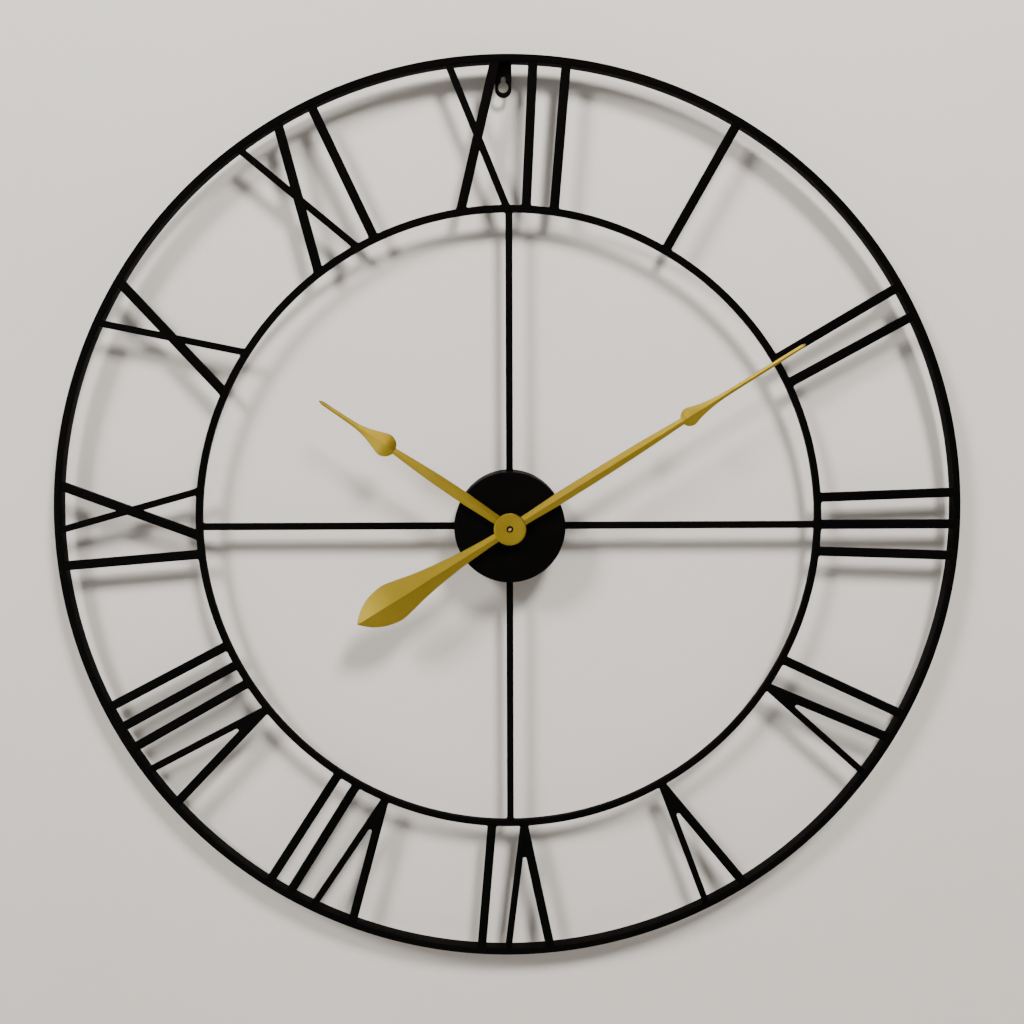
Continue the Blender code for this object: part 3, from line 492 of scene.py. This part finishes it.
def turned_mesh(name, profile, sides, along="Y", centre=(0.0, 0.0, 0.0)):
    """A closed section of (radius, place) points in metres, turned about the X or Y axis."""
    middle = Vector(centre)
    rings = []
    for k in range(sides):
        a = 2 * math.pi * k / sides
        if along == "Y":
            ring = [Vector((r * math.sin(a), place, r * math.cos(a))) for r, place in profile]
        else:
            ring = [Vector((place, r * math.sin(a), r * math.cos(a))) for r, place in profile]
        rings.append([middle + point for point in ring])
    work = bmesh.new()
    skin(work, rings, closed=True)
    return finished(name, work)


def arc(x, y, r, first, last, steps):
    """Points on an arc around (x, y), from one angle to another in degrees."""
    angles = [math.radians(first + (last - first) * k / steps) for k in range(steps + 1)]
    return [(x + r * math.cos(a), y + r * math.sin(a)) for a in angles]


def rounded_section(r_low, r_high, y_low, y_high, round_r, steps=4):
    """A rectangle of (radius, y) points with its four corners rounded."""
    points = []
    corners = ((r_high, y_low, -90), (r_high, y_high, 0), (r_low, y_high, 90), (r_low, y_low, 180))
    for r, y, first in corners:
        centre_r = r - round_r if r == r_high else r + round_r
        centre_y = y - round_r if y == y_high else y + round_r
        points += arc(centre_r, centre_y, round_r, first, first + 90, steps)
    return points


def sharp_edges(work):
    limit = math.radians(SHARP_ANGLE)
    return [e for e in work.edges if len(e.link_faces) == 2 and e.calc_face_angle() > limit]


def refined(name, node, width, segments=2, wanted=None):
    """A copy of a CAD node with its sharp edges, or the wanted ones of them, rounded."""
    work = bmesh.new()
    work.from_mesh(frame["nodes"][node].data)
    bmesh.ops.remove_doubles(work, verts=work.verts, dist=SAME_POINT)
    flat = math.radians(FLAT_ANGLE)
    bmesh.ops.dissolve_limit(work, angle_limit=flat, verts=work.verts, edges=work.edges)
    edges = [e for e in sharp_edges(work) if wanted is None or wanted(e)]
    bmesh.ops.bevel(
        work, geom=edges, offset=width * MM, offset_type="OFFSET", segments=segments, profile=0.5,
        affect="EDGES", clamp_overlap=True,
    )
    slot = NODE_SLOT[node]
    piece(name, finished(name, work), SLOT_MATERIALS[slot], NODE_BODY[node], slot, node)


def boolean(obj, other, operation):
    """Cuts or joins an object with another one, which is used up."""
    step = obj.modifiers.new(operation.lower(), "BOOLEAN")
    step.operation = operation
    step.solver = "EXACT"
    step.object = other
    bpy.context.view_layer.update()
    graph = bpy.context.evaluated_depsgraph_get()
    mesh = bpy.data.meshes.new_from_object(obj.evaluated_get(graph))
    obj.modifiers.clear()
    obj.data = mesh
    bpy.data.objects.remove(other)


def drill(r, y_front, y_back):
    """A plain round plug on the hands' axis, in millimetres, used to cut."""
    work = bmesh.new()
    depth = (y_back - y_front) * MM
    bmesh.ops.create_cone(
        work, cap_ends=True, segments=BOSS_SIDES, radius1=r * MM, radius2=r * MM, depth=depth
    )
    mesh = finished("drill", work)
    middle = Matrix.Translation((0.0, (y_front + y_back) / 2 * MM, 0.0))
    mesh.transform(middle @ Matrix.Rotation(math.pi / 2, 4, "X"))
    return loose("drill", mesh)


# ---- frame ----


def fine_ring(name, node, sides):
    """Flat bar on edge, bent round, with its four corners rounded."""
    low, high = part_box(node)
    section = rounded_section(high.x - RING_BAND * MM, high.x, low.y, high.y, RING_ROUND * MM)
    piece(name, turned_mesh(name, section, sides), BLACK, "frame", "black_powder_coat", node)


def fine_strips():
    """The numerals' strips and the spokes, their edges rounder than the CAD's."""
    for node in frame["nodes"]:
        if node.startswith(("numeral_", "spoke_")):
            refined(node + "_bar", node, STRIP_EDGE)


def fine_hub():
    """A drawn steel cup with a rolled front edge, a lip at the wall and a hole for the bushing."""
    low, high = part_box("hub_drum")
    r = high.x
    wall = HUB_WALL * MM
    hole = BUSHING_HOLE_R * MM
    lip = HUB_HOLE_EDGE * MM
    outer_round = HUB_FRONT_ROUND * MM
    inner_round = HUB_INNER_ROUND * MM
    edge = HUB_REAR_EDGE * MM
    section = [(hole, low.y + lip), (hole + lip, low.y)]
    section += arc(r - outer_round, low.y + outer_round, outer_round, -90, 0, 8)
    section += [(r, high.y - edge), (r - edge, high.y), (r - wall + edge, high.y), (r - wall, high.y - edge)]
    section += arc(r - wall - inner_round, low.y + wall + inner_round, inner_round, 0, -90, 6)
    section.append((hole, low.y + wall))
    mesh = turned_mesh("hub_shell", section, HUB_SIDES)
    piece("hub_shell", mesh, BLACK, "frame", "black_powder_coat", "hub_drum")


def fine_hanger():
    refined("hanger_keyhole_plate", "hanger_plate", HANGER_EDGE, 3)


# ---- welds ----


def end_spans(node, r):
    """The clock angles that a strip's ends cover where they meet a ring at radius r."""
    near = 0.75 * MM
    apart = 2.5  # degrees
    angles = []
    for vertex in frame["nodes"][node].data.vertices:
        x, z = vertex.co.x, vertex.co.z
        if abs(math.hypot(x, z) - r) < near:
            angles.append(math.degrees(math.atan2(x, z)))
    angles.sort()
    spans = []
    for angle in angles:
        if spans and angle - spans[-1][1] < apart:
            spans[-1][1] = angle
        else:
            spans.append([angle, angle])
    return spans


def weld_seam(work, r, side, span, y_front, y_back):
    """Fills the seam between a strip's end and a ring, with a small fillet on each side of the strip.
    side is 1 where the strip lies outside the ring's surface, and -1 where it lies inside."""
    reach = FILLET * MM
    middle = math.radians(sum(span) / 2)
    half = math.radians(span[1] - span[0]) / 2 * r
    outline = [(-half - reach, -SEAM_ROOT * MM)]
    outline += arc(-half - reach, reach, reach, -90, 0, 5)
    outline.append((-half + SEAM_OVERLAP * MM, reach + SEAM_END * MM))
    outline += [(-t, rho) for t, rho in reversed(outline)]
    loops = []
    inset = SEAM_EDGE * MM
    recess = SEAM_RECESS * MM
    layers = ((y_front + recess, inset), (y_front + recess + inset, 0.0),
              (y_back - recess - inset, 0.0), (y_back - recess, inset))
    for y, shrink in layers:
        loop = []
        for t, rho in outline:
            t -= math.copysign(min(shrink, abs(t)), t)
            a = middle + t / r
            radius = r + side * rho
            loop.append((radius * math.sin(a), y, radius * math.cos(a)))
        loops.append(loop)
    skin(work, loops)


def weld_bead(work, r, span, y, height):
    """A lumpy run of weld metal along the seam, tapered at both ends."""
    first, last = (math.radians(a) for a in span)
    length = (last - first) * r
    steps = max(8, round(length / (BEAD_STEP * MM)))
    loops = []
    for k in range(steps + 1):
        t = k / steps
        ripple = 1 + BEAD_RIPPLE * math.cos(2 * math.pi * t * length / (BEAD_PITCH * MM))
        taper = math.sqrt(max(0.04, 1 - (2 * t - 1) ** 6))
        swell = ripple * taper * BEAD_R * MM
        a = first + (last - first) * t
        loop = []
        for j in range(BEAD_SIDES):
            turn = 2 * math.pi * j / BEAD_SIDES
            radius = r + swell * math.cos(turn)
            loop.append((radius * math.sin(a), y + swell * height * math.sin(turn), radius * math.cos(a)))
        loops.append(loop)
    skin(work, loops)


def welds():
    """Every place where a strip or a spoke meets a ring or the hub."""
    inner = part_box("inner_ring")[1].x
    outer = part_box("outer_ring")[1].x - RING_BAND * MM
    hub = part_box("hub_drum")[1].x
    strip_front, strip_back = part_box("numeral_1_i1")[0].y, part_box("numeral_1_i1")[1].y
    gap = GAP * MM
    seams = bmesh.new()
    beads = bmesh.new()
    for node in frame["nodes"]:
        if node.startswith("numeral_"):
            joints = ((inner, 1), (outer, -1))
        elif node.startswith("spoke_"):
            joints = ((hub, 1), (inner - RING_BAND * MM, -1))
        else:
            continue
        for r, side in joints:
            for span in end_spans(node, r + side * gap):
                weld_seam(seams, r, side, span, strip_front, strip_back)
                flush = abs(r - inner) < 2 * RING_BAND * MM
                weld_bead(beads, r, span, strip_back, FLUSH_BEAD if flush else 1.0)
    piece("weld_seams", finished("weld_seams", seams), BLACK, "frame", "black_powder_coat")
    piece("weld_beads", finished("weld_beads", beads), WELD, "frame", "black_powder_coat", smooth=BEAD_SMOOTH)


# ---- hands ----


def smooth_outline(stations):
    """Points on a smooth curve through the stations, which never swings past them."""
    gaps = [b[0] - a[0] for a, b in zip(stations, stations[1:])]
    climbs = [(b[1] - a[1]) / gap for a, b, gap in zip(stations, stations[1:], gaps)]
    slopes = [climbs[0]]
    for before, after in zip(climbs, climbs[1:]):
        same_way = before * after > 0
        slopes.append(2 * before * after / (before + after) if same_way else 0.0)
    slopes.append(climbs[-1])
    points = [stations[0]]
    for k, gap in enumerate(gaps):
        (s, low), (_, high) = stations[k], stations[k + 1]
        for step in range(1, STEPS_BETWEEN_STATIONS + 1):
            t = step / STEPS_BETWEEN_STATIONS
            ease = t * t * (3 - 2 * t)
            lean = gap * (slopes[k] * t * (1 - t) ** 2 - slopes[k + 1] * t * t * (1 - t))
            points.append((s + t * gap, low + (high - low) * ease + lean))
    return points


def hand_outline(shank, head, taper):
    """Half widths along a whole hand: smooth up to the head, an arc round it, and smooth to the tip."""
    place, r, meeting = head
    first = math.asin(meeting / r)
    last = math.radians(90 + HEAD_LEAN)
    round_part = []
    for k in range(HEAD_STEPS + 1):
        a = first + (last - first) * k / HEAD_STEPS
        round_part.append((place - r * math.cos(a), r * math.sin(a)))
    before = smooth_outline(shank + round_part[:1])
    after = smooth_outline(round_part[-1:] + taper)
    return before[:-1] + round_part + after[1:]


def hand_section(half, rise):
    """A folded sheet's section, (across, depth): soft edges, and a fold that is nearly sharp."""
    e = min(HAND_ROUND, half * 0.45)
    fold = min(0.3, half * 0.15)
    slope = rise / half
    left = [(-half, e), (-half + e * 0.3, e * 0.3), (-half + e, -slope * e), (-fold, -rise + slope * fold)]
    crest = [(0.0, -rise + slope * fold * 0.4)]
    right = [(-across, depth) for across, depth in reversed(left)]
    under = HAND_SHEET
    back = [(half, under - 0.1), (half - e, under - slope * e), (0.0, under - rise + slope * fold * 0.6)]
    back += [(-half + e, under - slope * e), (-half, under - 0.1)]
    return left + crest + right + back


def hand_mesh(name, outline, y, ridge, angle):
    """The folded blade, with its fold highest where the outline is widest."""
    widest = max(half for _, half in outline)
    rings = []
    for s, half in outline:
        ring = []
        for across, depth in hand_section(half, ridge * (half / widest) ** RIDGE_POWER):
            x, z = clock_point(s, angle, across)
            ring.append((x * MM, (y + depth) * MM, z * MM))
        rings.append(ring)
    work = bmesh.new()
    skin(work, rings)
    return finished(name, work)


def boss_mesh(name, boss, hole_r):
    """A pressed disc with a rolled edge and a shallow dish around its hole."""
    r, y_front, y_back = boss
    edge = BOSS_EDGE
    section = [(hole_r, y_back), (hole_r, y_front + 0.3), (hole_r + 0.3, y_front + 0.12)]
    section += [(hole_r + 1.6, y_front + 0.06), (r - edge - 1.0, y_front)]
    section += arc(r - edge, y_front + edge, edge, -90, 0, 6)
    section += [(r, y_back - 0.2), (r - 0.2, y_back)]
    return turned_mesh(name, [(radius * MM, y * MM) for radius, y in section], BOSS_SIDES)


def hand(name, node, outline, y, ridge, angle, boss, hole_r):
    """One hand: the folded blade joined to its boss, and drilled."""
    blade = loose(name, hand_mesh(name, outline, y, ridge, angle))
    boolean(blade, drill(hole_r + DRILL_SPARE, y - DRILL_REACH, y + DRILL_REACH), "DIFFERENCE")
    boolean(blade, loose(name + "_boss", boss_mesh(name + "_boss", boss, hole_r)), "UNION")
    mesh = blade.data
    bpy.data.objects.remove(blade)
    piece(name, mesh, GOLD, NODE_BODY[node], "gold_lacquer", node, smooth=FACET_ANGLE)


def fine_hands():
    outline = hand_outline(MINUTE_SHANK, MINUTE_HEAD, MINUTE_TAPER)
    hand("minute_blade", "minute_hand", outline, MINUTE_HAND_Y, MINUTE_RIDGE, MINUTE_ANGLE, MINUTE_BOSS,
         MINUTE_BUSH_HOLE_R)
    outline = hand_outline(HOUR_SHANK, HOUR_HEAD, HOUR_TAPER)
    hand("hour_blade", "hour_hand", outline, HOUR_HAND_Y, HOUR_RIDGE, HOUR_ANGLE, HOUR_BOSS,
         HOUR_TUBE_HOLE_R)
    refined("minute_hand_collet", "minute_hand_bush", 0.15, 3)
    tip_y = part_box("minute_arbor")[0].y + 0.5 * MM
    refined("minute_shaft", "minute_arbor", 0.3, 3, lambda e: all(v.co.y < tip_y for v in e.verts))


# ---- movement ----


def fine_movement():
    """The case's outer edges, the cover's relief and the knob's grip."""
    low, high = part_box("movement_case")
    corner = 0.05 * MM

    def on_side(edge):
        """An edge that lies on the case's outer faces."""
        return all(
            min(abs(v.co.x - low.x), abs(v.co.x - high.x), abs(v.co.z - low.z), abs(v.co.z - high.z)) < corner
            for v in edge.verts
        )

    refined("movement_front_case", "movement_case", CASE_EDGE, 3, on_side)
    refined("movement_back_cover", "movement_cover", CASE_EDGE, 3, on_side)
    grip_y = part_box("setting_knob")[1].y - KNOB_GRIP_DEPTH * MM
    refined("setting_knob_grip", "setting_knob", 0.22, 2, lambda e: all(v.co.y > grip_y for v in e.verts))
    for node in ("hex_nut", "front_washer"):
        refined(node + "_turned", node, 0.12, 2)
    for node in ("contact_positive", "contact_negative"):
        refined(node + "_strip", node, 0.15, 2)
    cover_relief()


def bar(work, low, high):
    """A slim raised bar between two corners, in metres."""
    made = bmesh.ops.create_cube(work, size=1.0)["verts"]
    bmesh.ops.scale(work, vec=[b - a for a, b in zip(low, high)], verts=made)
    bmesh.ops.translate(work, vec=[(a + b) / 2 for a, b in zip(low, high)], verts=made)


def cover_relief():
    """What is moulded on the cover's back: a guard ring around the knob, a row of ribs, and the marks
    that say which way round the cell goes."""
    knob_low, knob_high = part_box("setting_knob")
    knob_x = (knob_low.x + knob_high.x) / 2
    knob_z = (knob_low.z + knob_high.z) / 2
    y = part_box("movement_cover")[1].y - RELIEF_SINK * MM
    r = (knob_high.z - knob_low.z) / 2 + GUARD_CLEARANCE * MM
    ring = rounded_section(r, r + GUARD_WIDTH * MM, y, y + GUARD_HEIGHT * MM, 0.25 * MM, 3)
    guard = turned_mesh("knob_guard_ring", ring, 72, centre=(knob_x, 0.0, knob_z))
    piece("knob_guard_ring", guard, CASE, "frame", "case_plastic")
    work = bmesh.new()
    top = y + RELIEF_HEIGHT * MM

    def raised(x_low, x_high, z_low, z_high):
        bar(work, (x_low * MM, y, z_low * MM), (x_high * MM, top, z_high * MM))

    for x in RIB_PLACES:
        raised(x, x + RIB_WIDTH, *RIB_SPAN)
    for x in (MARK_X, -MARK_X):
        raised(x - MARK_HALF, x + MARK_HALF, MARK_Z - MARK_THIN, MARK_Z + MARK_THIN)
        if x > 0:
            raised(x - MARK_THIN, x + MARK_THIN, MARK_Z - MARK_HALF, MARK_Z + MARK_HALF)
    bmesh.ops.bevel(work, geom=work.edges[:], offset=0.1 * MM, offset_type="OFFSET", segments=2,
                    profile=0.5, affect="EDGES", clamp_overlap=True)
    piece("cover_ribs_and_marks", finished("cover_ribs_and_marks", work), CASE, "frame", "case_plastic")


def fine_battery():
    """The cell's sleeve, curled over both ends, and its steel button and base."""
    low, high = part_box("battery_aa")
    r = (high.z - low.z) / 2
    centre = (0.0, (low.y + high.y) / 2, (low.z + high.z) / 2)
    first = low.x
    nub = BUTTON_LENGTH * MM
    last = high.x - nub
    curl = SLEEVE_CURL * MM
    sleeve = [(0.0, first + 0.5 * MM), (r - 1.3 * MM, first + 0.5 * MM), (r - 1.1 * MM, first + 0.1 * MM)]
    sleeve += arc(r - curl, first + curl, curl, -90, 0, 4)
    sleeve += arc(r - curl, last - curl, curl, 0, 90, 4)
    sleeve += [(r - 2.8 * MM, last), (r - 3.0 * MM, last - 0.2 * MM), (0.0, last - 0.2 * MM)]
    mesh = turned_mesh("battery_sleeve", sleeve, 72, "X", centre)
    piece("battery_cell_sleeve", mesh, CELL, "battery", "battery_sleeve", "battery_aa")
    base = [
        (0.0, first + 0.15 * MM), (r - 1.6 * MM, first + 0.15 * MM), (r - 1.4 * MM, first + 0.3 * MM),
        (r - 1.4 * MM, first + 0.7 * MM), (0.0, first + 0.7 * MM),
    ]
    piece("battery_base", turned_mesh("battery_base", base, 64, "X", centre), STEEL, "battery", "steel")
    nub_r = BUTTON_R * MM
    edge = BUTTON_EDGE * MM
    button = [(0.0, last + nub)]
    button += arc(nub_r - edge, last + nub - edge, edge, 90, 0, 4)
    button += [(nub_r, last + 0.1 * MM), (r - 3.2 * MM, last + 0.02 * MM), (r - 3.2 * MM, last - 0.5 * MM),
               (0.0, last - 0.5 * MM)]
    piece("battery_button", turned_mesh("battery_button", button, 64, "X", centre), STEEL, "battery", "steel")


# ---- stage, lights and camera ----


def plane(name, corners, finish):
    """One flat side of the room."""
    mesh = bpy.data.meshes.new(name)
    work = bmesh.new()
    work.faces.new([work.verts.new(corner) for corner in corners])
    work.to_mesh(mesh)
    work.free()
    mesh.materials.append(finish)
    obj = loose(name, mesh)
    return obj


def area_light(name, at, power, size, colour=(1.0, 1.0, 1.0), panel=False):
    """A round soft light aimed at the clock's middle. A panel only shows in what reflects it, and
    the others only light the scene, so that shadows and reflections can be set apart."""
    data = bpy.data.lights.new(name, "AREA")
    data.energy = power
    data.shape = "DISK"
    data.size = size
    data.color = colour
    obj = loose(name, data)
    obj.location = at
    obj.rotation_euler = (-Vector(at)).to_track_quat("-Z", "Y").to_euler()
    obj.visible_camera = False
    obj.visible_glossy = panel
    obj.visible_diffuse = not panel


def stage():
    """The wall, a room around the clock, two lights in front, two behind, and the panels."""
    wall = one_sided(room_paint("wall_paint", (0.672, 0.634, 0.596), (0.692, 0.654, 0.616)))
    ground = room_paint("floor_paint", (0.30, 0.292, 0.28), (0.34, 0.33, 0.318))
    room = room_paint("room_paint", (0.24, 0.236, 0.23), (0.28, 0.275, 0.268))
    half = WALL_SIZE / 2
    wall_y = cad_high.y + WALL_GAP
    far_y = -ROOM_DEPTH
    backdrop = plane("backdrop", [(-half, wall_y, FLOOR_Z), (half, wall_y, FLOOR_Z), (half, wall_y, half),
                                  (-half, wall_y, half)], wall)
    backdrop.visible_shadow = False  # so that the two lights behind it reach the clock's back
    plane("floor", [(-half, far_y, FLOOR_Z), (half, far_y, FLOOR_Z), (half, wall_y, FLOOR_Z),
                    (-half, wall_y, FLOOR_Z)], ground)
    plane("far_wall", [(half, far_y, FLOOR_Z), (-half, far_y, FLOOR_Z), (-half, far_y, half),
                       (half, far_y, half)], room)
    for name, x in (("left_wall", -half), ("right_wall", half)):
        plane(name, [(x, far_y, FLOOR_Z), (x, wall_y, FLOOR_Z), (x, wall_y, half), (x, far_y, half)], room)
    area_light("key", (0.98, -2.08, 2.28), 140.0, 0.7, (1.0, 0.98, 0.95))
    area_light("second", (-2.2, -2.2, 2.2), 148.0, 0.95, (1.0, 0.99, 0.97))
    area_light("left_panel", (-1.7, -2.0, -0.15), 30.0, 2.2, panel=True)
    area_light("right_panel", (1.5, -2.0, -0.7), 4.0, 1.6, panel=True)
    area_light("top_panel", (-0.08, -2.0, 0.86), 4.1, 0.5, (1.0, 0.88, 0.78), panel=True)
    area_light("high_panel", (0.0, -1.6, 1.65), 14.0, 0.7, (1.0, 0.95, 0.9), panel=True)
    area_light("front_panel", (-0.1, -2.0, -0.25), 0.8, 0.5, panel=True)
    area_light("back_left", (-1.2, 1.6, 1.3), 26.0, 1.0)
    area_light("back_right", (1.4, 1.4, 0.5), 18.0, 0.8)
    world = bpy.data.worlds.new("studio")
    world.use_nodes = True
    world.node_tree.nodes["Background"].inputs["Color"].default_value = (1.0, 1.0, 1.0, 1.0)
    world.node_tree.nodes["Background"].inputs["Strength"].default_value = AMBIENT
    bpy.context.scene.world = world


def camera():
    """The photo's viewing point, found from the outlines of the clock's circles."""
    data = bpy.data.cameras.new("camera")
    data.lens = LENS_MM
    data.sensor_width = SENSOR_MM
    obj = loose("camera", data)
    level = Matrix.Rotation(math.pi / 2, 4, "X")
    turn = (Matrix.Rotation(math.radians(-CAMERA_PITCH), 4, "X")
            @ Matrix.Rotation(math.radians(-CAMERA_YAW), 4, "Y")
            @ Matrix.Rotation(math.radians(-CAMERA_ROLL), 4, "Z"))
    obj.matrix_world = Matrix.Translation(CAMERA_AT) @ level @ turn
    bpy.context.scene.camera = obj


dress_frame()
fine_ring("outer_ring_bar", "outer_ring", OUTER_RING_SIDES)
fine_ring("inner_ring_bar", "inner_ring", INNER_RING_SIDES)
fine_strips()
fine_hub()
fine_hanger()
welds()
fine_hands()
fine_movement()
fine_battery()
stage()
camera()
